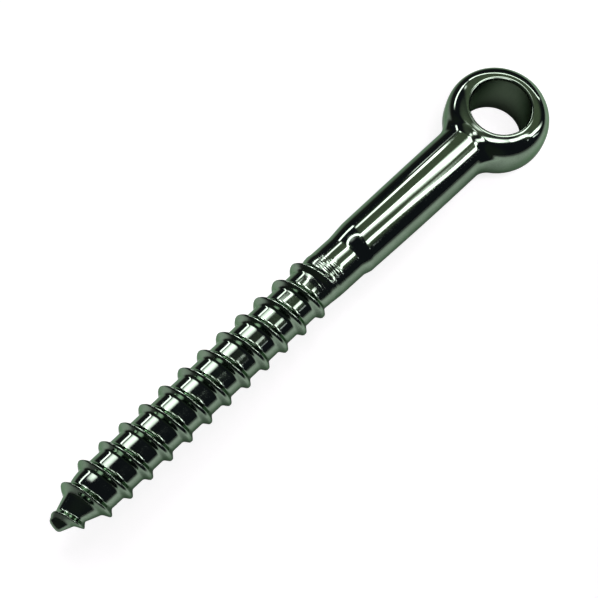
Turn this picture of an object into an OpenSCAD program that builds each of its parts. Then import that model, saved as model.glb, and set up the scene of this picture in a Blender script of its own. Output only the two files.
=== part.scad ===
// Screw eye: a wood screw whose shank ends in a drilled eye, forged and rolled in one piece.
// Millimetres. The origin is the middle of the hole in the eye, +Z runs along that hole,
// and the shank lies along X with its tip towards -X.

/* [Eye] */
// Outside diameter of the eye
eye_od = 15.6; // [14.6:0.1:17]
// Diameter of the hole through the eye
bore_d = 8.8; // [7.8:0.1:9.2]
// Thickness of the eye from face to face
eye_t = 8.5; // [8.1:0.1:8.8]
// Radius of the barrel-shaped rim, seen in section
rim_r = 4.65; // [4.5:0.05:5]
// Rounding of the hole's two edges
bore_edge_r = 0.4; // [0.2:0.05:0.6]

/* [Shank] */
// Distance from the middle of the eye to the tip
reach = 85.6; // [70:0.2:110]
// Diameter of the plain shank beside the eye
neck_d = 7.9; // [7.4:0.05:7.95]
// Diameter of the plain shank just above the step
shank_d = 7.55; // [7.2:0.05:7.8]
// Distance from the middle of the eye to the top of the step
shank_l = 28.8; // [20:0.2:32]
// Length of the sloping step
step_l = 2; // [0.8:0.1:3]
// Radius of the hollow curve that leads from the shank up to the eye's faces
neck_r = 5; // [2:0.5:9]
// Radius of the two hollow curves that lead from the shank's sides into the rim
fillet_r = 2; // [1:0.25:3]

/* [Thread] */
// Outside diameter of the thread
thread_d = 8.1; // [7.6:0.05:8.1]
// Diameter of the core between the turns
root_d = 6.45; // [6:0.05:6.8]
// Diameter of the smooth blank between the thread and the step
blank_d = 6.9; // [6.6:0.02:7.1]
// Advance of the thread in one turn
pitch = 3.6; // [3.3:0.1:4.2]
// Length of the thread, measured from the tip
thread_l = 49.4; // [36:0.2:50]
// Width of the flat top of a turn
crest_w = 0.45; // [0.2:0.05:0.8]
// Width of each sloping flank of a turn
flank_w = 0.6; // [0.4:0.05:0.7]
// Width of the hollow curve at the foot of each flank
foot_w = 0.28; // [0.1:0.02:0.35]

/* [Tip] */
// Length of the taper from the nose to the full core
taper_l = 6.6; // [5:0.2:9]
// Diameter at the edge of the blunt nose
nose_d = 1.8; // [1.2:0.1:2.2]
// Length of the rounded nose
nose_l = 0.25; // [0.15:0.05:0.5]
// Distance from the tip to the first crest
start_l = 0.85; // [0.8:0.05:1.6]

/* [Hidden] */

$fn = 96;
steel = [0.42, 0.49, 0.43];

// Flat sides that stand in for one turn of the thread
sides = 36;
// Where one surface runs on under another, it lies deeper by this much
lap = 0.02;
// How far one solid reaches into the next where they join
bite = 0.35;
// Length of plain shank that the hollow curve takes up before the rim
neck_lead = 1.2;
// Least rise of the hollow curve
least_rise = 0.05;
// Turns before and after the thread's end over which the core swells to the blank's diameter
swell_before = 0.8;
swell_after = 0.4;
// Shares of the nose's length and radius at which its end is rounded off
bevel_l = 0.2;
bevel_r = 0.64;
// Share of the full height that the thread starts with at the nose
start_share = 0.25;
// Turns over which the thread grows at the nose, and over which it fades at the shank
grow_turns = 0.5;
fade_turns = 0.5;
// Turns over which the flat top reaches its full width, and the share it starts with
sharp_turns = 3;
sharp_share = 0.35;
// Share of a turn's height that the hollow curve at its foot takes
foot_share = 0.12;
// Roundness of the change from the taper to the parallel core
taper_blend = 0.15;
// The first root line keeps this far above the nose
nose_gap = 0.15;

eye_r = eye_od / 2;
bore_r = bore_d / 2;
// Centre of the rim's arc in the section of the eye
rim_centre = eye_r - rim_r;
// Height of the eye's face at the distance r from the hole's axis: flat, then falling with the rim
function face_z(r) = min(eye_t / 2, sqrt(rim_r * rim_r - pow(r - rim_centre, 2)));
// Distance from the hole's axis at which the rounding of its edges ends
wall_in = bore_r + bore_edge_r;
// Plane inside the eye's wall at which the shank stops, clear of the rounded edge of the hole
shank_stop = wall_in + bite;
// The hollow curve climbs from the shank to a collar just under the eye's faces
collar_r = face_z(shank_stop) - lap;
collar_rise = max(least_rise, collar_r - neck_d / 2);
collar_l = sqrt(neck_r * neck_r - pow(neck_r - collar_rise, 2));
// Where the hollow curve leaves the shank, and where it reaches the collar
neck_x = -eye_r - neck_lead;
collar_x = neck_x + collar_l;
// Axis of each side fillet, upright and touching both the shank's side and the rim
fillet_y = neck_d / 2 + fillet_r;
fillet_x = -sqrt(pow(eye_r - lap + fillet_r, 2) - fillet_y * fillet_y);
// The fillet turns from square to the shank until it faces the middle of the eye
fillet_turn = 90 - atan2(fillet_y, -fillet_x);

tip_x = -reach;
nose_x = tip_x + nose_l;
blank_r = blank_d / 2;
root_r = root_d / 2;
thread_r = thread_d / 2;
turn_h = thread_r - root_r;
first_crest_x = tip_x + start_l;
// Steps along the helix, from the first crest to the place where the crest has faded away
last = round((thread_l - start_l) / pitch * sides);
faded_x = first_crest_x + pitch * last / sides;
// The faceted thread ends here, inside the round blank
thread_stop = faded_x + pitch / 2 + 2 * bite;
swell_from = faded_x - swell_before * pitch;
swell_to = faded_x + swell_after * pitch;

function share(t) = min(1, max(0, t));
function ease(t) = t * t * (3 - 2 * t);
function mix(a, b, t) = a + (b - a) * t;
function soft_min(a, b, k) = (a + b - sqrt((a - b) * (a - b) + 4 * k * k)) / 2;

// Radius of the core at the place x: a cone at the tip, then parallel, then the swell
function body_r(x) = mix(root_r, blank_r, ease(share((x - swell_from) / (swell_to - swell_from))));
function cone_r(x) = mix(nose_d / 2, root_r + taper_blend, (x - nose_x) / taper_l);
function core_r(x) = soft_min(cone_r(x), body_r(x), taper_blend);

// The crest's place and height at step j of the helix
function crest_x(j) = first_crest_x + pitch * j / sides;
function grown(j) = mix(start_share, 1, share(j / (sides * grow_turns)));
function faded(j) = share((last - j) / (sides * fade_turns));
function crest_h(j) = turn_h * min(grown(j), faded(j));
function flat_share(j) = mix(sharp_share, 1, share(j / (sides * sharp_turns)));

// Section of one turn, from one root line to just short of the next:
// distance from the crest, and share of the crest's height
function section(flat) = [
    [-pitch / 2, 0],
    [-flat / 2 - flank_w - foot_w, 0],
    [-flat / 2 - flank_w, foot_share],
    [-flat / 2, 1],
    [flat / 2, 1],
    [flat / 2 + flank_w, foot_share],
    [flat / 2 + flank_w + foot_w, 0]
];
rows = len(section(crest_w));

function polar(x, r, j) = [x, r * cos(360 * j / sides), r * sin(360 * j / sides)];

// The part of the section on the tip's side is squeezed where the nose leaves less room for it
function squeeze(j) = min(1, (crest_x(j) - nose_x - nose_gap) / (pitch / 2));
function place(j, p) = crest_x(j) + p[0] * (p[0] < 0 ? squeeze(j) : 1);
function skin(j, p) = let (x = place(j, p)) polar(x, core_r(x) + p[1] * crest_h(j), j);

// Points: the root line all the way along, the rest of each section, the nose and the top ring
root_line = [for (j = [0:last + sides]) skin(j, [-pitch / 2, 0])];
sections = [
    for (j = [0:last], k = [1:rows - 1])
        skin(j, section(crest_w * flat_share(j))[k])
];
nose_ring = [for (j = [0:sides - 1]) polar(nose_x, nose_d / 2, j)];
nose_bevel = [for (j = [0:sides - 1]) polar(tip_x + nose_l * bevel_l, nose_d / 2 * bevel_r, j)];
top_ring = [for (j = [0:sides - 1]) polar(thread_stop, blank_r - lap, j + last)];
nose_point = [tip_x, 0, 0];

at_sections = len(root_line);
at_nose = at_sections + len(sections);
at_bevel = at_nose + sides;
at_top = at_bevel + sides;
at_point = at_top + sides;

// Number of the point on row k of step j: a turn's last row is the root line of the next turn
function id(j, k) =
    k == 0 ? j :
    k == rows ? j + sides :
    at_sections + j * (rows - 1) + k - 1;
function nose_id(j) = at_nose + j % sides;
function bevel_id(j) = at_bevel + j % sides;
function top_id(j) = at_top + j % sides;

// Four corners as two triangles
function quad(a, b, c, d) = [[a, b, c], [a, c, d]];
// A fan of triangles from a corner c over a chain of points
function fan(c, chain) = [for (i = [0:len(chain) - 2]) [c, chain[i], chain[i + 1]]];
function column(j) = [for (k = [0:rows]) id(j, k)];
function reverse(list) = [for (i = [len(list) - 1:-1:0]) list[i]];

// The strip of the thread, the closed nose at its start and the flat end inside the blank
turn_faces = [
    for (j = [0:last - 1], k = [0:rows - 1])
        each quad(id(j, k), id(j, k + 1), id(j + 1, k + 1), id(j + 1, k))
];
nose_faces = [
    for (j = [0:sides - 1]) [at_point, bevel_id(j), bevel_id(j + 1)],
    for (j = [0:sides - 1])
        each quad(bevel_id(j), nose_id(j), nose_id(j + 1), bevel_id(j + 1)),
    for (j = [0:sides - 2])
        each quad(nose_id(j), id(j, 0), id(j + 1, 0), nose_id(j + 1)),
    [sides - 1, nose_id(0), nose_id(sides - 1)],
    each fan(sides - 1, concat(reverse(column(0)), [nose_id(0)]))
];
top_faces = [
    for (j = [1:sides - 1])
        each quad(id(last + j, 0), top_id(j), top_id(j + 1), id(last + j + 1, 0)),
    each fan(last + 1, concat(column(last), [top_id(0), top_id(1)])),
    [for (j = [0:sides - 1]) top_id(j)]
];

module thread() {
    points = concat(root_line, sections, nose_ring, nose_bevel, top_ring, [nose_point]);
    faces = concat(turn_faces, nose_faces, top_faces);
    polyhedron(points, faces, convexity = 20);
}

// Solid of revolution about the shank's axis: the outline gives radius, then place along X
module turned() {
    rotate([0, 90, 0]) rotate_extrude() children();
}

// The blank, the step, the plain shank that thickens towards the eye, and its hollow curve
module shank() {
    turned() {
        polygon([
            [0, thread_stop - bite],
            [blank_r, thread_stop - bite],
            [blank_r, -shank_l - step_l],
            [shank_d / 2, -shank_l],
            [neck_d / 2, neck_x],
            [neck_d / 2, -shank_stop],
            [0, -shank_stop]
        ]);
        difference() {
            translate([0, neck_x]) square([collar_r, collar_l]);
            translate([neck_d / 2 + neck_r, neck_x]) circle(r = neck_r);
        }
        translate([0, collar_x - bite]) square([collar_r - lap, -shank_stop - collar_x + bite]);
    }
}

// A hollow fillet beside the shank: a bar like the shank, bent round the fillet's upright axis,
// cut off clear of the hole's rounded edge
module side_fillet() {
    difference() {
        translate([fillet_x, fillet_y, 0])
            rotate([0, 0, -90])
                rotate_extrude(angle = fillet_turn)
                    translate([fillet_y, 0]) circle(d = neck_d);
        cylinder(r = shank_stop, h = 2 * eye_t, center = true);
    }
}

module neck() {
    side_fillet();
    mirror([0, 1, 0]) side_fillet();
}

// Section of the eye's wall: a barrel-shaped rim between two flat faces, with rounded edges
module eye_section() {
    edge_z = face_z(wall_in) - bore_edge_r;
    intersection() {
        translate([rim_centre, 0]) circle(r = rim_r);
        translate([wall_in, -eye_t / 2]) square([eye_r, eye_t]);
    }
    translate([bore_r, -edge_z]) square([2 * bore_edge_r, 2 * edge_z]);
    for (side = [-1, 1])
        translate([wall_in, side * edge_z]) circle(r = bore_edge_r);
}

module eye() {
    rotate_extrude() eye_section();
}

module screw_eye() {
    color(steel) union() {
        eye();
        neck();
        shank();
        thread();
    }
}

screw_eye();
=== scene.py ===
import math

import bpy
import numpy as np
from mathutils import Matrix, Vector


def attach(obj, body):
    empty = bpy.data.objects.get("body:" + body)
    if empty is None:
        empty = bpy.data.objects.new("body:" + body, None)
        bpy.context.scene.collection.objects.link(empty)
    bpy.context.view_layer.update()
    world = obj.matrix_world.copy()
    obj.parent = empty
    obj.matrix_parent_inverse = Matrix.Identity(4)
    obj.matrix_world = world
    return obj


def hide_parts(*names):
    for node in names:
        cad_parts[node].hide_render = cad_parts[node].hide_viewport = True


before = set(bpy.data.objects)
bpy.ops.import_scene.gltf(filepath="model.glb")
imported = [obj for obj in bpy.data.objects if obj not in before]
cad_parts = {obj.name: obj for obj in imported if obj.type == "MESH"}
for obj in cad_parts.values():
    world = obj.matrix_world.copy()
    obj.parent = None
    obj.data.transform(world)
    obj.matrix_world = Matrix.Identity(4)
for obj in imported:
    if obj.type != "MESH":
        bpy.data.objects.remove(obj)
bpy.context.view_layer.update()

bl_info = {
    "name": "Screw Eye",
    "version": (1, 0, 0),
    "blender": (4, 5, 0),
    "location": "3D View > Sidebar > Screw Eye",
    "description": "Models a polished steel screw eye and sets it on a lit table",
    "category": "Add Mesh",
}

# The neck's cage has 8 corners, and four subdivisions make 128 columns round the shank
CUTS = 4
SIDES = 8 * 2 ** CUTS

# Places along the shank in millimetres: the eye's cage opens, the subdivided neck ends,
# the drawn shank ends, and the thread's mesh ends
CAGE_X = -9.0
NECK_X = -12.0
SHANK_X = -32.8
THREAD_X = -33.0
# How far a vertex may lie from the place by which it is picked
SLACK = 0.01


# Sizes and colours that a user would change

def measure(name, description, default):
    return bpy.props.FloatProperty(
        name=name, description=description, default=default,
        unit="LENGTH", subtype="DISTANCE", precision=5)


class ScrewEyeSizes(bpy.types.PropertyGroup):
    eye_d: measure("Eye", "Outside diameter of the eye", 0.0156)
    hole_d: measure("Hole", "Diameter of the hole through the eye", 0.0088)
    eye_t: measure("Thickness", "Thickness of the eye from face to face", 0.0085)
    edge_r: measure("Hole's edge", "Rounding of the hole's two edges", 0.0004)
    neck_d: measure("Neck", "Diameter of the plain shank beside the eye", 0.0079)
    shank_d: measure("Shank", "Diameter of the plain shank above the step", 0.00755)
    blank_d: measure("Blank", "Diameter between the thread and the step", 0.0069)
    step_x: measure("Step", "Distance from the middle of the eye to the step", 0.0288)
    thread_d: measure("Thread", "Outside diameter of the thread", 0.0081)
    root_d: measure("Core", "Diameter of the core between the turns", 0.00645)
    pitch: measure("Pitch", "Advance of the thread in one turn", 0.0036)
    thread_l: measure("Thread length", "Length of the thread from the tip", 0.0494)
    reach: measure("Reach", "Distance from the middle of the eye to the tip", 0.0856)
    nose_d: measure("Nose", "Diameter of the blunt nose", 0.0018)
    taper_l: measure("Taper", "Length from the nose to the full core", 0.0064)
    fillet: measure("Fillet", "Width of the hollow where shank and eye meet", 0.0016)


class ScrewEyeFinish(bpy.types.PropertyGroup):
    steel: bpy.props.FloatVectorProperty(
        name="Steel", description="Colour of the polished steel", subtype="COLOR",
        size=3, min=0, max=1, default=(0.205, 0.28, 0.205))
    roughness: bpy.props.FloatProperty(
        name="Roughness", description="Roughness of the polish", subtype="FACTOR",
        default=0.04, min=0, max=1)


# What a hand does between two tools

def deselect_everything():
    if bpy.context.mode != "OBJECT":
        bpy.ops.object.mode_set(mode="OBJECT")
    bpy.ops.object.select_all(action="DESELECT")


def corners(obj):
    """The places of all vertices, one row for each."""
    out = np.empty(len(obj.data.vertices) * 3)
    obj.data.vertices.foreach_get("co", out)
    return out.reshape(-1, 3)


def put_corners(obj, places):
    obj.data.vertices.foreach_set("co", np.ascontiguousarray(places).ravel())
    obj.data.update()


def pick(obj, test):
    """Selects the vertices that pass a test of their places, and leaves the object in edit mode."""
    bpy.ops.object.mode_set(mode="EDIT")
    bpy.ops.mesh.select_mode(type="VERT")
    bpy.ops.mesh.select_all(action="DESELECT")
    bpy.ops.object.mode_set(mode="OBJECT")
    obj.data.vertices.foreach_set("select", test(corners(obj)))
    bpy.ops.object.mode_set(mode="EDIT")


def pick_faces(obj, test):
    """Selects the faces whose centres pass a test, and leaves the object in edit mode."""
    bpy.ops.object.mode_set(mode="EDIT")
    bpy.ops.mesh.select_mode(type="FACE")
    bpy.ops.mesh.select_all(action="DESELECT")
    bpy.ops.object.mode_set(mode="OBJECT")
    for face in obj.data.polygons:
        face.select = bool(test(face.center))
    bpy.ops.object.mode_set(mode="EDIT")


# Curves that the form is made from

def share(t):
    """A value held between 0 and 1."""
    return np.clip(t, 0, 1)


def ease(t):
    """From 0 to 1 with a slow start and a slow end."""
    t = share(t)
    return t * t * (3 - 2 * t)


def soft_min(a, b, k):
    """The lesser of two, with the change between them rounded over the width k."""
    h = np.maximum(k - np.abs(a - b), 0) / np.maximum(k, 1e-9)
    return np.minimum(a, b) - h * h * k / 4


def soft_max(a, b, k):
    return -soft_min(-a, -b, k)


class Form:
    """The screw eye's surfaces, in millimetres, from the sizes in the panel."""

    # From the tip to the crest on the +Y side in its first turn
    start_l = 0.85
    # Width of a flank from the flat crest down to the core
    flank_w = 0.6

    def __init__(self, sizes):
        mm = {name: getattr(sizes, name) * 1000 for name in ScrewEyeSizes.__annotations__}
        self.__dict__.update(mm)
        self.tip_x = -self.reach
        self.first_x = self.tip_x + self.start_l
        self.last_x = self.tip_x + self.thread_l

    def core(self, x):
        """Radius of the core: a cone behind the nose, then parallel, then a swell to the blank."""
        nose_l, beyond, swell_from, swell_l, rounding = 0.3, 0.1, 2.9, 4.4, 0.5
        rise = self.root_d / 2 + beyond - self.nose_d / 2
        cone = self.nose_d / 2 + (x - self.tip_x - nose_l) * rise / self.taper_l
        swell = ease((x - self.last_x + swell_from) / swell_l)
        parallel = self.root_d / 2 + (self.blank_d - self.root_d) / 2 * swell
        return soft_min(cone, parallel, rounding)

    def end_swelling(self, x, side):
        """The core bulges on the +Y side where the last turn ends."""
        high, beyond, wide = 0.12, 0.5, 0.6
        return high * ((1 + side) / 2) ** 3 * np.exp(-((x - self.last_x - beyond) / wide) ** 2)

    def shank(self, x, side):
        """Radius of the plain shank. Its step is short on the -Y side and long on the +Y side."""
        short, longer, step_back, flare_end, flare_curve = 0.8, 1.1, 2.0, 12, 1.6
        run = short + longer * (side + 1) / 2
        up = ease((x + self.step_x + step_back + 0.5 * run) / (2 * run))
        flare = 1 - (1 - share((x + self.step_x) / (self.step_x - flare_end))) ** flare_curve
        wide = self.shank_d / 2 + (self.neck_d - self.shank_d) / 2 * flare
        return self.blank_d / 2 + (wide - self.blank_d / 2) * up

    def ridge(self, dx, turn, side):
        """Height of the thread at the distance dx from its crest: higher and sharper on the +Y side."""
        uneven, sharpest, flat_half, flat_turns = 0.1, 0.04, 0.09, 3
        foot_blend, crest_blend = 0.3, 0.2
        tall = (self.thread_d - self.root_d) / 2 * (1 + uneven * side)
        flat = sharpest + (flat_half - uneven * side) * share(turn / flat_turns)
        fall = 1 - (np.abs(dx) - flat) / self.flank_w
        height = soft_min(soft_max(fall, 0, foot_blend), 1, crest_blend)
        # The thread grows out of the nose, stands a little over its height in the first turn,
        # and fades over the last half turn
        start, over, lead, grow_turns, settle_from, settle_turns, fade_turns = 0.2, 0.15, 0.15, 0.6, 1.4, 1.2, 0.5
        grow = (start + (1 + over - start) * ease((turn + lead) / grow_turns)
                - over * ease((turn - settle_from) / settle_turns))
        fade = share(((self.last_x - self.first_x) / self.pitch - turn) / fade_turns)
        return tall * height * np.minimum(grow, (1 + over) * fade)

    def rim(self, r, y, z):
        """Distance from the barrel-shaped rim, whose section is fuller and narrower on the +Y side."""
        front_end, turn_width, bulge_w, proud = -0.6, 0.7, 4.0, 0.05
        back = ease((y / np.maximum(r, 1) - front_end) / turn_width)
        full = 2.5 + 0.55 * back
        inset = 0.14 + 0.15 * back
        bulge_h = self.eye_t / 2 + proud
        u = np.maximum(r - (self.eye_d / 2 - inset - bulge_w), 0) / bulge_w
        w = np.abs(z) / bulge_h
        return ((u ** full + w ** full) ** (1 / full) - 1) * 0.5 * (bulge_w + bulge_h)

    def eye_and_neck(self, p):
        """Distance from the rim and the neck, joined by a hollow and with the hole taken out."""
        rod_end, rod_blend = -4.0, 0.5
        hollow_from, hollow_l, wide_to, narrow_l, narrower = 4.9, 1.6, 1.6, 1.5, 0.65
        edge_blend = 1.3 * self.edge_r
        x, y, z = p[:, 0], p[:, 1], p[:, 2]
        r = np.hypot(x, y)
        rod = soft_max(np.hypot(y, z) - self.neck_d / 2, x - rod_end, rod_blend)
        # The hollow is wide at mid-height and narrow at the faces, and ends before the hole
        width = (self.fillet * ease((r - hollow_from) / hollow_l)
                 * (1 - narrower * ease((np.abs(z) - wide_to) / narrow_l)))
        body = soft_min(self.rim(r, y, z), rod, width)
        return soft_max(body, self.hole_d / 2 - r, edge_blend)

    def bow(self, x):
        """The piece isn't quite straight: it bows by 0.15 mm, and its tip bends 0.11 mm the other way."""
        high, middle, wide = 0.15, -38, 13
        back, back_from, back_l = 0.11, -58, 22
        return high * np.exp(-((x - middle) / wide) ** 2) - back * ease((back_from - x) / back_l)

    def settle(self, p, rounds):
        """Moves points along the surface's slope until they lie on the eye and its neck."""
        h, flattest = 1e-3, 1e-3
        for _ in range(rounds):
            f = self.eye_and_neck(p)
            slope = np.stack([
                self.eye_and_neck(p + h * np.eye(3)[i]) - self.eye_and_neck(p - h * np.eye(3)[i])
                for i in range(3)], axis=1) / (2 * h)
            p = p - (f / np.maximum((slope ** 2).sum(1), flattest))[:, None] * slope
        return p


def model_eye(form):
    """The eye: a torus whose rings take their places in the section, with the neck drawn out of it."""
    torus_r, tube_r, rings = 6, 1.6, 8
    deselect_everything()
    bpy.ops.mesh.primitive_torus_add(
        major_segments=12, minor_segments=rings, major_radius=torus_r, minor_radius=tube_r,
        align="WORLD", location=(0, 0, 0))
    eye = bpy.context.object
    eye.name = "screw_eye_body"

    # Radius and height of each ring of the cage: the rim, round the upper face, the wall and back
    top, wall, rim = form.eye_t / 2, form.hole_d / 2, form.eye_d / 2
    lip, shoulder_z, outer_z, edge = 0.75, 3.3, 2.5, 0.55
    section = (
        (rim, 0), (rim - lip, shoulder_z), (wall + lip, top), (wall, top - edge),
        (wall, 0), (wall, edge - top), (wall + lip, -top), (rim - lip, -shoulder_z))
    for ring, (to_r, to_z) in enumerate(section):
        turn = 2 * math.pi * ring / rings
        at_r, at_z = torus_r + tube_r * math.cos(turn), tube_r * math.sin(turn)
        pick(eye, lambda p: (np.abs(np.hypot(p[:, 0], p[:, 1]) - at_r) < SLACK)
             & (np.abs(p[:, 2] - at_z) < SLACK))
        bpy.ops.transform.resize(value=(to_r / at_r, to_r / at_r, 1), center_override=(0, 0, 0))
        bpy.ops.transform.translate(value=(0, 0, to_z - at_z))

    # The four outer faces towards the shank are drawn out, laid in one plane, opened and rounded
    pick_faces(eye, lambda c: c.x < -torus_r and abs(c.z) < outer_z)
    bpy.ops.mesh.extrude_region_move(TRANSFORM_OT_translate={"value": (-1, 0, 0)})
    bpy.ops.transform.resize(value=(0, 1, 1), center_override=(CAGE_X, 0, 0))
    bpy.ops.mesh.delete(type="FACE")

    def at_opening(p):
        return p[:, 0] < CAGE_X + SLACK

    pick(eye, at_opening)
    bpy.ops.transform.tosphere(value=1.0)
    bpy.ops.object.mode_set(mode="OBJECT")
    opening = corners(eye)
    opening = opening[at_opening(opening)]
    # Subdivision draws the ring of corners in to this share of its radius
    drawn_in = 0.902
    wide = form.neck_d / 2 / drawn_in / np.hypot(opening[:, 1], opening[:, 2]).mean()
    pick(eye, at_opening)
    bpy.ops.transform.resize(value=(1, wide, wide), center_override=(CAGE_X, 0, 0))
    bpy.ops.mesh.extrude_region_move(TRANSFORM_OT_translate={"value": (NECK_X - CAGE_X, 0, 0)})
    bpy.ops.object.mode_set(mode="OBJECT")

    smooth = eye.modifiers.new("round_off", "SUBSURF")
    smooth.levels = smooth.render_levels = CUTS
    bpy.ops.object.modifier_apply(modifier=smooth.name)

    # The subdivided cage settles on the true section, and the neck's mesh is evened out
    neck_from, evenings = -4.5, 6
    put_corners(eye, form.settle(corners(eye), rounds=6))
    for _ in range(evenings):
        pick(eye, lambda p: (p[:, 0] < neck_from) & (p[:, 0] > NECK_X + SLACK))
        bpy.ops.mesh.vertices_smooth(factor=0.5, repeat=4)
        bpy.ops.object.mode_set(mode="OBJECT")
        put_corners(eye, form.settle(corners(eye), rounds=3))

    # The open end becomes an even circle
    p = corners(eye)
    end = np.nonzero(p[:, 0] < NECK_X + SLACK)[0]
    turn = np.arctan2(p[end, 2], p[end, 1])
    order = np.argsort(turn)
    even = turn[order][0] + 2 * math.pi * np.arange(len(end)) / len(end)
    even -= np.mean(even - turn[order])
    neck_r = form.neck_d / 2
    p[end[order]] = np.stack([
        np.full(len(end), NECK_X), neck_r * np.cos(even), neck_r * np.sin(even)], axis=1)
    put_corners(eye, p)
    return eye


def draw_shank(eye, form):
    """The plain shank: the neck's open end is drawn out ring by ring, closer together at the step."""
    first, step_from, step_to, wide_gap, close_gap = -13.0, -26.2, -32.6, -0.8, -0.16
    stations = [*np.arange(first, step_from, wide_gap), *np.arange(step_from, step_to, close_gap), SHANK_X]
    at = NECK_X
    pick(eye, lambda p: p[:, 0] < NECK_X + SLACK)
    for x in stations:
        bpy.ops.mesh.extrude_region_move(TRANSFORM_OT_translate={"value": (x - at, 0, 0)})
        at = x
    bpy.ops.object.mode_set(mode="OBJECT")
    p = corners(eye)
    shaft = p[:, 0] < NECK_X - SLACK
    old = np.hypot(p[shaft, 1], p[shaft, 2])
    new = form.shank(p[shaft, 0], p[shaft, 1] / old)
    p[shaft, 1] *= new / old
    p[shaft, 2] *= new / old
    put_corners(eye, p)


def model_thread(form):
    """The thread: its section is drawn point by point, swept by a screw, then shaped."""
    # Distances from the crest at which the section has a point, close together on the ridge
    half = [0, 0.05, 0.11, 0.17, 0.23, 0.3, 0.38, 0.46, 0.54, 0.62, 0.7, 0.79, 0.9, 1.05, 1.3, form.pitch / 2]
    places = sorted([-d for d in half[1:]] + half)
    # The sweep starts a turn before the first crest and stops a turn past the mesh's end
    start, stop = form.first_x - form.pitch, THREAD_X + form.pitch
    turns = math.ceil((stop - start) / form.pitch)

    deselect_everything()
    bpy.ops.mesh.primitive_plane_add(size=1, location=(0, 0, 0))
    thread = bpy.context.object
    thread.name = "thread"
    bpy.ops.object.mode_set(mode="EDIT")
    bpy.ops.mesh.select_all(action="SELECT")
    bpy.ops.mesh.merge(type="CENTER")
    bpy.ops.transform.translate(value=(start + places[0], form.root_d / 2, 0))
    for a, b in zip(places, places[1:]):
        bpy.ops.mesh.extrude_region_move(TRANSFORM_OT_translate={"value": (b - a, 0, 0)})
    bpy.ops.object.mode_set(mode="OBJECT")

    sweep = thread.modifiers.new("sweep", "SCREW")
    sweep.axis = "X"
    sweep.angle = 2 * math.pi * turns
    sweep.screw_offset = form.pitch * turns
    sweep.steps = sweep.render_steps = SIDES * turns
    sweep.use_merge_vertices = False
    bpy.ops.object.modifier_apply(modifier=sweep.name)

    # Radius of each point: the core, and on it the ridge by the distance from the crest
    p = corners(thread)
    angle = np.arctan2(p[:, 2], p[:, 1]) / (2 * math.pi)
    whole = np.round((p[:, 0] - form.first_x) / form.pitch - angle)
    turn = whole + angle
    dx = p[:, 0] - form.first_x - form.pitch * turn
    side = np.cos(2 * math.pi * angle)
    r = form.core(p[:, 0]) + form.end_swelling(p[:, 0], side) + form.ridge(dx, turn, side)
    p[:, 1] = r * np.cos(2 * math.pi * angle)
    p[:, 2] = r * np.sin(2 * math.pi * angle)
    put_corners(thread, p)

    # Neighbouring turns are merged, and the end towards the shank is cut straight
    bpy.ops.object.mode_set(mode="EDIT")
    bpy.ops.mesh.select_mode(type="VERT")
    bpy.ops.mesh.select_all(action="SELECT")
    bpy.ops.mesh.remove_doubles(threshold=0.002)
    bpy.ops.mesh.select_all(action="SELECT")
    bpy.ops.mesh.bisect(plane_co=(THREAD_X, 0, 0), plane_no=(1, 0, 0), clear_outer=True, threshold=1e-5)
    pick(thread, lambda p: p[:, 0] > THREAD_X - 0.03)
    bpy.ops.mesh.remove_doubles(threshold=0.02)

    # The blunt nose is cut off slightly askew, then drawn in ring by ring and closed
    askew, nose_l, last_step = 0.12, 0.5, 0.02
    nose_rings = ((0.15, 0.93), (0.1, 0.92), (0.08, 0.88), (0.07, 0.78), (0.03, 0.6))
    bpy.ops.mesh.select_all(action="SELECT")
    cut = Vector((-1, askew, 0)).normalized()
    bpy.ops.mesh.bisect(plane_co=(form.tip_x + nose_l, 0, 0), plane_no=cut, clear_outer=True, threshold=1e-5)
    for step, narrow in nose_rings:
        bpy.ops.mesh.extrude_region_move(TRANSFORM_OT_translate={"value": tuple(cut * step)})
        bpy.ops.transform.resize(value=(narrow,) * 3)
    bpy.ops.mesh.extrude_region_move(TRANSFORM_OT_translate={"value": tuple(cut * last_step)})
    bpy.ops.mesh.merge(type="CENTER")
    bpy.ops.object.mode_set(mode="OBJECT")
    return thread


class ScrewEyeModel(bpy.types.Operator):
    """Models the screw eye in one piece: eye, neck, shank and thread"""
    bl_idname = "screw_eye.model"
    bl_label = "Screw eye"

    def execute(self, context):
        form = Form(context.scene.screw_eye_sizes)
        eye = model_eye(form)
        draw_shank(eye, form)
        thread = model_thread(form)

        deselect_everything()
        thread.select_set(True)
        eye.select_set(True)
        context.view_layer.objects.active = eye
        bpy.ops.object.join()
        bpy.ops.object.mode_set(mode="EDIT")
        bpy.ops.mesh.select_mode(type="EDGE")
        bpy.ops.mesh.select_all(action="DESELECT")
        bpy.ops.mesh.select_non_manifold(
            use_wire=False, use_boundary=True, use_multi_face=False, use_non_contiguous=False, use_verts=False)
        bpy.ops.mesh.bridge_edge_loops()
        bpy.ops.mesh.select_all(action="SELECT")
        bpy.ops.mesh.normals_make_consistent(inside=False)
        bpy.ops.object.mode_set(mode="OBJECT")
        p = corners(eye)
        p[:, 1] += form.bow(p[:, 0])
        put_corners(eye, p)
        # Millimetres become metres
        bpy.ops.object.mode_set(mode="EDIT")
        bpy.ops.mesh.select_all(action="SELECT")
        bpy.ops.transform.resize(value=(0.001, 0.001, 0.001), center_override=(0, 0, 0))
        bpy.ops.object.mode_set(mode="OBJECT")
        bpy.ops.object.shade_smooth()
        eye.data.materials.append(polished_steel(context.scene.screw_eye_finish, form))
        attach(eye, "root")
        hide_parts("screw_eye")
        return {"FINISHED"}


# Nodes

def wire(tree, kind, inputs=(), **settings):
    """Adds a node, sets its options and fills its inputs with values or other nodes' outputs."""
    node = tree.nodes.new(kind)
    for name, value in settings.items():
        setattr(node, name, value)
    for key, value in dict(inputs).items():
        if isinstance(value, bpy.types.NodeSocket):
            tree.links.new(value, node.inputs[key])
        else:
            node.inputs[key].default_value = value
    return node


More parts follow.
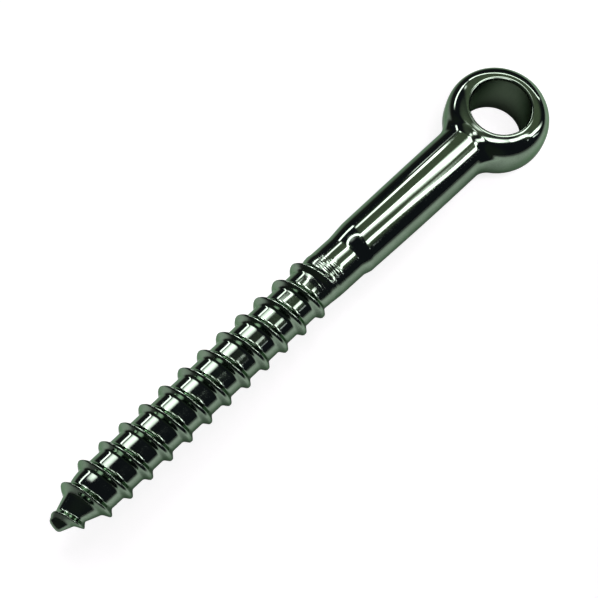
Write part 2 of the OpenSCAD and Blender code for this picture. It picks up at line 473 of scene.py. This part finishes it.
def maths(tree, operation, *values, **settings):
    """The result of a Math node."""
    return wire(tree, "ShaderNodeMath", dict(enumerate(values)), operation=operation, **settings).outputs[0]


def product(tree, *factors):
    out = factors[0]
    for factor in factors[1:]:
        out = maths(tree, "MULTIPLY", out, factor)
    return out


def ramp_up(tree, value, low, high):
    """0 below low, 1 above high, smooth between; the other way round where low is above high."""
    return wire(tree, "ShaderNodeMapRange", {"Value": value, "From Min": low, "From Max": high},
                interpolation_type="SMOOTHSTEP").outputs["Result"]


def opaque(colour):
    """A colour with its alpha. Another node's output stays as it is."""
    return colour if isinstance(colour, bpy.types.NodeSocket) else (*colour, 1)


def blend(tree, factor, a, b):
    """The colour a where the factor is 0 and the colour b where it is 1."""
    return wire(tree, "ShaderNodeMix", {"Factor": factor, "A": opaque(a), "B": opaque(b)},
                data_type="RGBA").outputs["Result"]


def axes(tree, vector, names="XYZ"):
    return [wire(tree, "ShaderNodeSeparateXYZ", {0: vector}).outputs[name] for name in names]


def from_hole_axis(tree, x, y):
    """Distance from the axis of the hole."""
    flat = wire(tree, "ShaderNodeCombineXYZ", {0: x, 1: y}).outputs[0]
    return wire(tree, "ShaderNodeVectorMath", {0: flat}, operation="LENGTH").outputs["Value"]


def steel_wear(form):
    """Node group: tone, roughness and height of drawn, rolled and drilled steel, by the place on the piece, and a
    mask of the hole's wall, which also places the hole's painted shade.
    """
    tree = bpy.data.node_groups.new("steel_wear", "ShaderNodeTree")
    for name, kind, way in (
            ("Place", "NodeSocketVector", "INPUT"), ("Polish", "NodeSocketFloat", "INPUT"),
            ("Tone", "NodeSocketFloat", "OUTPUT"), ("Bore", "NodeSocketFloat", "OUTPUT"),
            ("Roughness", "NodeSocketFloat", "OUTPUT"), ("Height", "NodeSocketFloat", "OUTPUT")):
        tree.interface.new_socket(name, in_out=way, socket_type=kind)
    given = wire(tree, "NodeGroupInput")
    mm = wire(tree, "ShaderNodeVectorMath", {0: given.outputs["Place"], "Scale": 1000.0},
              operation="SCALE").outputs["Vector"]
    x, y = axes(tree, mm, "XY")

    def noise(stretch, scale, detail):
        spread = wire(tree, "ShaderNodeMapping", {"Vector": mm, "Scale": stretch}).outputs[0]
        return wire(tree, "ShaderNodeTexNoise", {"Vector": spread, "Scale": scale, "Detail": detail}).outputs[0]

    def add(value, amount, base):
        return maths(tree, "MULTIPLY_ADD", value, amount, base)

    # Regions, in millimetres: the drilled wall by the distance from the hole's axis, then by x the
    # thread and the stretch round its end, where the dies left scratches
    wall, end = form.hole_d / 2, form.last_x
    bore = ramp_up(tree, from_hole_axis(tree, x, y), wall + 0.06, wall)
    thread = ramp_up(tree, x, end + 1.7, end - 0.3)
    scratched = product(tree, ramp_up(tree, x, end - 2.6, end - 1.6), ramp_up(tree, x, end + 2.4, end + 1.4))

    # Patterns: clouds and specks all over, lines along the shank, round the thread and round the hole
    cloud = noise((1, 1, 1), 0.5, 3)
    speck = noise((1, 1, 1), 4.5, 2)
    drawn = noise((0.05, 1, 1), 5.0, 3)
    rolled = noise((1, 0.06, 0.06), 4.6, 1)
    tool = noise((0.15, 0.15, 1), 6.0, 2)

    tone = add(speck, 0.5, product(tree, cloud, 0.6))
    rough = given.outputs["Polish"]
    for mask, rougher in ((ramp_up(tree, speck, 0.45, 0.75), 0.06), (thread, 0.03), (scratched, 0.04), (bore, 0.3)):
        rough = add(mask, rougher, rough)
    # Heights in millimetres
    height = product(tree, drawn, 0.0006)
    for mark, deep in ((speck, 0.0005), (product(tree, rolled, scratched), 0.03), (product(tree, tool, bore), 0.006)):
        height = add(mark, deep, height)
    wire(tree, "NodeGroupOutput", {"Tone": tone, "Bore": bore, "Roughness": rough, "Height": height})
    return tree


def polished_steel(finish, form):
    """Polished steel with dark green-grey edges, and a duller wall in the drilled hole, whose darker colour is
    painted shade.
    """
    darker, lighter = 0.62, 1.3
    bore_painted_shade, edge_tint = (0.075, 0.1, 0.07), (0.42, 0.55, 0.42)
    mat = bpy.data.materials.new("polished_steel")
    mat.use_nodes = True
    tree = mat.node_tree
    bsdf = tree.nodes["Principled BSDF"]
    bsdf.inputs["Metallic"].default_value = 1
    bsdf.inputs["Specular Tint"].default_value = opaque(edge_tint)
    wear = wire(tree, "ShaderNodeGroup", node_tree=steel_wear(form))
    wear.inputs["Polish"].default_value = finish.roughness
    tree.links.new(wire(tree, "ShaderNodeTexCoord").outputs["Object"], wear.inputs["Place"])
    steel = Vector(finish.steel)
    base = blend(tree, wear.outputs["Tone"], steel * darker, steel * lighter)
    # Painted shade: the hole's wall gets a darker colour than the rest of the steel
    base = blend(tree, wear.outputs["Bore"], base, bore_painted_shade)
    tree.links.new(base, bsdf.inputs["Base Color"])
    tree.links.new(wear.outputs["Roughness"], bsdf.inputs["Roughness"])
    # Heights are in millimetres, the bump in metres
    bump = wire(tree, "ShaderNodeBump", {"Height": wear.outputs["Height"], "Distance": 0.001, "Strength": 1.0})
    tree.links.new(bump.outputs["Normal"], bsdf.inputs["Normal"])
    return mat


# Stage

# Width of the table, and its height: it touches the eye's lower face
TABLE_W, TABLE_Z = 6, -0.00425


def table_top():
    """A pale table. The camera sees it white, and the metal sees painted light and shade on it: white near by and
    darker further off.
    """
    near_glow, hole_painted_light = 0.9, 0.85
    near_grey, far_grey = (0.4,) * 3, (0.08,) * 3
    near_white, far_white = 0.85, 1.0
    shade_reach = 0.014

    mat = bpy.data.materials.new("table_top")
    mat.use_nodes = True
    tree = mat.node_tree
    bsdf = tree.nodes["Principled BSDF"]
    bsdf.inputs["Roughness"].default_value = 0.9
    bsdf.inputs["Specular IOR Level"].default_value = 0
    path = wire(tree, "ShaderNodeLightPath").outputs
    x, y = axes(tree, wire(tree, "ShaderNodeTexCoord").outputs["Object"], "XY")

    # Painted shadow: ambient occlusion round the screw eye darkens the white that the metal sees, more deeply on the
    # -Y side. That white ends 26 mm behind the axis, 75 mm before it and 14 mm past the tip. Distances are in metres.
    open_air = wire(tree, "ShaderNodeAmbientOcclusion", {"Distance": shade_reach}).outputs["AO"]
    depth = maths(tree, "MULTIPLY_ADD", ramp_up(tree, y, 0.003, -0.003), 2.0, 1.0)
    open_air = maths(tree, "POWER", open_air, depth)
    near = product(tree, ramp_up(tree, y, 0.026, 0.006), ramp_up(tree, y, -0.075, -0.006),
                   ramp_up(tree, x, -0.1, -0.083), open_air, near_glow)
    # A painted pool of light for the metal to see on the table under the hole: bright in the middle, with painted
    # shade towards the wall
    out = from_hole_axis(tree, x, y)
    painted_pool_under_hole = product(tree, ramp_up(tree, out, 0.0038, 0.0008), hole_painted_light)
    near = wire(tree, "ShaderNodeMix", {
        "Factor": ramp_up(tree, out, 0.0046, 0.0056), "A": painted_pool_under_hole, "B": near}).outputs["Result"]
    near = product(tree, near, path["Is Glossy Ray"])

    # Further along +Y the table's colour darkens while the camera's white rises to full, so the metal mirrors painted
    # shade there
    far = ramp_up(tree, y, 0.012, 0.04)
    tree.links.new(blend(tree, far, near_grey, far_grey), bsdf.inputs["Base Color"])
    white = maths(tree, "MULTIPLY_ADD", far, far_white - near_white, near_white)
    seen = maths(tree, "ADD", path["Is Camera Ray"], near)
    seen = maths(tree, "ADD", seen, path["Is Transmission Ray"], use_clamp=True)
    tree.links.new(product(tree, seen, white), bsdf.inputs["Emission Strength"])
    bsdf.inputs["Emission Color"].default_value = (1, 1, 1, 1)
    return mat


def bend(tree, value, points):
    """A smooth curve through (value, result) pairs. The results lie between 0 and 180."""
    low, high, most = points[0][0], points[-1][0], 180.0
    along = wire(tree, "ShaderNodeMapRange", {"Value": value, "From Min": low, "From Max": high}).outputs[0]
    node = wire(tree, "ShaderNodeFloatCurve", {"Value": along})
    curve = node.mapping.curves[0]
    # A new curve has two points
    for _ in points[2:]:
        curve.points.new(0.5, 0.5)
    for point, (at, result) in zip(curve.points, points):
        point.location = ((at - low) / (high - low), result / most)
    node.mapping.update()
    return product(tree, node.outputs["Value"], most)


def band(tree, value, middle, half, soft):
    """1 within half a width of the middle, falling to 0 over the soft edge."""
    off = maths(tree, "SUBTRACT", value, middle)
    return ramp_up(tree, maths(tree, "ABSOLUTE", off), half + soft, half)


# The light tent's seams. Each follows a curve of (x, turn) pairs, where x is the direction's share
# along the screw eye and turn its angle about it in degrees, from +Y over the top. Then come half its
# width and its soft edge in degrees, the x over which it starts and over which it ends, its light,
# and whether it is left out where the plain shank looks.
SEAMS = (
    (((-0.4, 14), (-0.05, 17), (0.2, 20.5), (0.39, 22), (0.55, 24.5), (0.65, 34), (0.72, 46), (0.79, 56),
      (0.85, 72), (0.92, 92), (1.0, 140)),
     1.8, 3.8, (-0.35, -0.1), (0.99, 0.95), (7.0, 6.2, 7.0), True),
    (((-0.4, 96), (-0.2, 102), (0.0, 110), (0.2, 116), (0.37, 118), (0.41, 125), (0.4545, 134), (0.6, 139),
      (0.7, 146), (0.9, 160)),
     4.0, 5.0, (0.29, 0.36), (0.85, 0.65), (7.0, 6.2, 7.0), False),
    (((-0.4, 130), (-0.05, 135), (0.25, 141), (0.4, 147), (0.55, 155), (0.65, 163), (0.9, 175)),
     1.5, 2.5, (0.3, 0.36), (0.7, 0.5), (4.0, 3.5, 4.2), True),
)


def studio():
    """A dark studio: olive grey above, black round it, and the white bands of a light tent's seams."""
    black, olive_grey, behind_tip = (0.02, 0.02, 0.03), (0.2, 0.225, 0.165), (0.03, 0.034, 0.032)
    world = bpy.data.worlds.new("studio")
    world.use_nodes = True
    tree = world.node_tree
    x, y, z = axes(tree, wire(tree, "ShaderNodeTexCoord").outputs["Generated"])
    turn = maths(tree, "DEGREES", maths(tree, "ARCTAN2", z, y))

    # Olive grey stands high up, towards the eye's end, and stops short of the -Y side
    olive = product(tree, ramp_up(tree, z, 0.3, 0.6), ramp_up(tree, x, 0.27, 0.38), ramp_up(tree, turn, 145, 128))
    tone = blend(tree, olive, black, olive_grey)
    tone = blend(tree, ramp_up(tree, x, -0.35, -0.65), tone, behind_tip)

    # The plain shank mirrors a narrow range of x
    shank_looks = band(tree, x, 0.41, 0.055, 0.025)
    beside_shank = maths(tree, "MULTIPLY_ADD", shank_looks, -1.0, 1.0)
    for points, half, soft, start, end, light, left_out in SEAMS:
        seam = product(tree, band(tree, turn, bend(tree, x, points), half, soft),
                       ramp_up(tree, x, *start), ramp_up(tree, x, *end))
        if left_out:
            seam = product(tree, seam, beside_shank)
        tone = blend(tree, seam, tone, light)
    tree.links.new(tone, tree.nodes["Background"].inputs["Color"])
    return world


# The photo's camera, fitted to the outline, the thread's crests and the hole: its place, the
# directions of the picture's right and down, the lens and sensor in millimetres, the pixel that
# its axis meets, and the width and height of the photo in pixels
CAMERA_AT = (-0.118523, -0.048171, 0.211141)
CAMERA_RIGHT = (0.69210, -0.71580, 0.09294)
CAMERA_DOWN = (-0.63711, -0.66632, -0.38743)
LENS, SENSOR = 102.341, 36
AXIS_X, AXIS_Y = 300.649, 300.518
PHOTO = 598


def turned(x, y, z):
    """The matrix of an object whose own axes point in these directions."""
    return Matrix([[x[i], y[i], z[i], 0] for i in range(3)] + [[0, 0, 0, 1]])


def aim_camera(scene):
    data = bpy.data.cameras.new("camera")
    camera = bpy.data.objects.new("camera", data)
    scene.collection.objects.link(camera)
    data.sensor_width = SENSOR
    data.lens = LENS
    right, up = Vector(CAMERA_RIGHT), -Vector(CAMERA_DOWN)
    camera.matrix_world = Matrix.Translation(CAMERA_AT) @ turned(right, up, right.cross(up))
    data.shift_x = (PHOTO / 2 - AXIS_X) / PHOTO
    data.shift_y = (AXIS_Y - PHOTO / 2) / PHOTO
    data.clip_start = 0.01
    scene.camera = camera


# Lamps: name, middle, direction along the strip, direction in which it shines, length, width,
# softness of its long edges, radiance, the angle in degrees to which its grid holds the light,
# and colour
LILAC, LEAF = (1.0, 0.88, 1.0), (0.9, 1.0, 0.72)
LAMPS = (
    ("strip_middle", (0.088, 0.003, 0.2), (-0.575, 0.818, 0), (0, 0, -1), 0.1, 0.08, 0.42, 7.0, 180, LILAC),
    ("strip_near", (-0.006, 0.0115, 0.056), (1, -0.2, 0), (-26, -12, -52), 0.026, 0.013, 0.42, 11.0, 50, LILAC),
    ("strip_step", (-0.019, 0.029, 0.056), (-0.38, 0.925, 0), (-14, -29, -52), 0.042, 0.0095, 0.42, 10.0, 50,
     LILAC),
    ("strip_back", (0.011, 0.069, 0.054), (1, -0.08, 0), (-62, -62, -48), 0.044, 0.019, 0.42, 30.0, 40, LILAC),
    ("strip_arc", (0.049, 0.107, 0.0455), (1, 0, 0), (-42, -102, -41), 0.027, 0.011, 0.42, 11.0, 14, LILAC),
    ("strip_eye_left", (-0.006, -0.0165, 0.056), (0.84, -0.54, 0), (12, 13.5, -52), 0.031, 0.021, 0.42, 13.0, 48,
     LILAC),
    ("strip_eye_right", (0.017, -0.0305, 0.056), (0.9, -0.43, 0), (-6, 27, -53), 0.034, 0.02, 0.42, 12.0, 44,
     LILAC),
    ("panel_near", (-0.053, 0.038, 0.047), (1, 0, 0), (-15, -38, -43), 0.062, 0.05, 0.25, 5.7, 60, LILAC),
    ("panel_eye", (0.004, 0.018, 0.06), (1, 0, 0), (6, -18, -56), 0.056, 0.075, 0.15, 0.3, 60, LEAF),
)
# Softness of every lamp's short edges
END_SOFT = 0.12


def put_lamp(name, middle, along, shine, length, width, soft, radiance, spread, colour):
    data = bpy.data.lights.new(name, "AREA")
    data.shape = "RECTANGLE"
    data.size, data.size_y = length, width
    data.spread = math.radians(spread)
    # The power that gives the radiance on the lamp's axis: the grid lets less of it out
    half = math.radians(spread) / 2
    data.energy = radiance * math.pi * length * width * (1 - half / math.tan(half))
    data.color = colour
    data.use_nodes = True
    tree = data.node_tree
    place = wire(tree, "ShaderNodeNewGeometry").outputs["Parametric"]
    glow = product(tree, *(
        product(tree, ramp_up(tree, at, 0, edge), ramp_up(tree, at, 1, 1 - edge))
        for at, edge in zip(axes(tree, place, "XY"), (END_SOFT, soft))))
    tree.links.new(glow, tree.nodes["Emission"].inputs["Strength"])
    lamp = bpy.data.objects.new(name, data)
    bpy.context.scene.collection.objects.link(lamp)
    z = -Vector(shine).normalized()
    x = (Vector(along) - z * z.dot(Vector(along))).normalized()
    lamp.matrix_world = Matrix.Translation(middle) @ turned(x, z.cross(x), z)
    lamp.visible_camera = False


class ScrewEyeStage(bpy.types.Operator):
    """Sets the table, the lamps and the camera"""
    bl_idname = "screw_eye.stage"
    bl_label = "Table, lamps and camera"

    def execute(self, context):
        scene = context.scene
        scene.view_settings.view_transform = "Standard"
        deselect_everything()
        bpy.ops.mesh.primitive_plane_add(size=TABLE_W, location=(0, 0, TABLE_Z))
        floor = context.object
        floor.name = "table"
        floor.data.materials.append(table_top())
        aim_camera(scene)
        for lamp in LAMPS:
            put_lamp(*lamp)
        scene.world = studio()
        return {"FINISHED"}


class ScrewEyePanel(bpy.types.Panel):
    """Lists the piece, its finish and the stage in the sidebar"""
    bl_label = "Screw Eye"
    bl_idname = "VIEW3D_PT_screw_eye"
    bl_space_type = "VIEW_3D"
    bl_region_type = "UI"
    bl_category = "Screw Eye"

    def draw(self, context):
        for step in STEPS:
            self.layout.operator(step)
        for group in (context.scene.screw_eye_sizes, context.scene.screw_eye_finish):
            for name in group.__annotations__:
                self.layout.prop(group, name)


CLASSES = (ScrewEyeSizes, ScrewEyeFinish, ScrewEyeModel, ScrewEyeStage, ScrewEyePanel)
STEPS = ("screw_eye.stage", "screw_eye.model")


def register():
    for cls in CLASSES:
        bpy.utils.register_class(cls)
    bpy.types.Scene.screw_eye_sizes = bpy.props.PointerProperty(type=ScrewEyeSizes)
    bpy.types.Scene.screw_eye_finish = bpy.props.PointerProperty(type=ScrewEyeFinish)


def unregister():
    del bpy.types.Scene.screw_eye_finish
    del bpy.types.Scene.screw_eye_sizes
    for cls in reversed(CLASSES):
        bpy.utils.unregister_class(cls)


def main():
    register()
    bpy.ops.screw_eye.stage()
    bpy.ops.screw_eye.model()


if __name__ == "__main__":
    main()
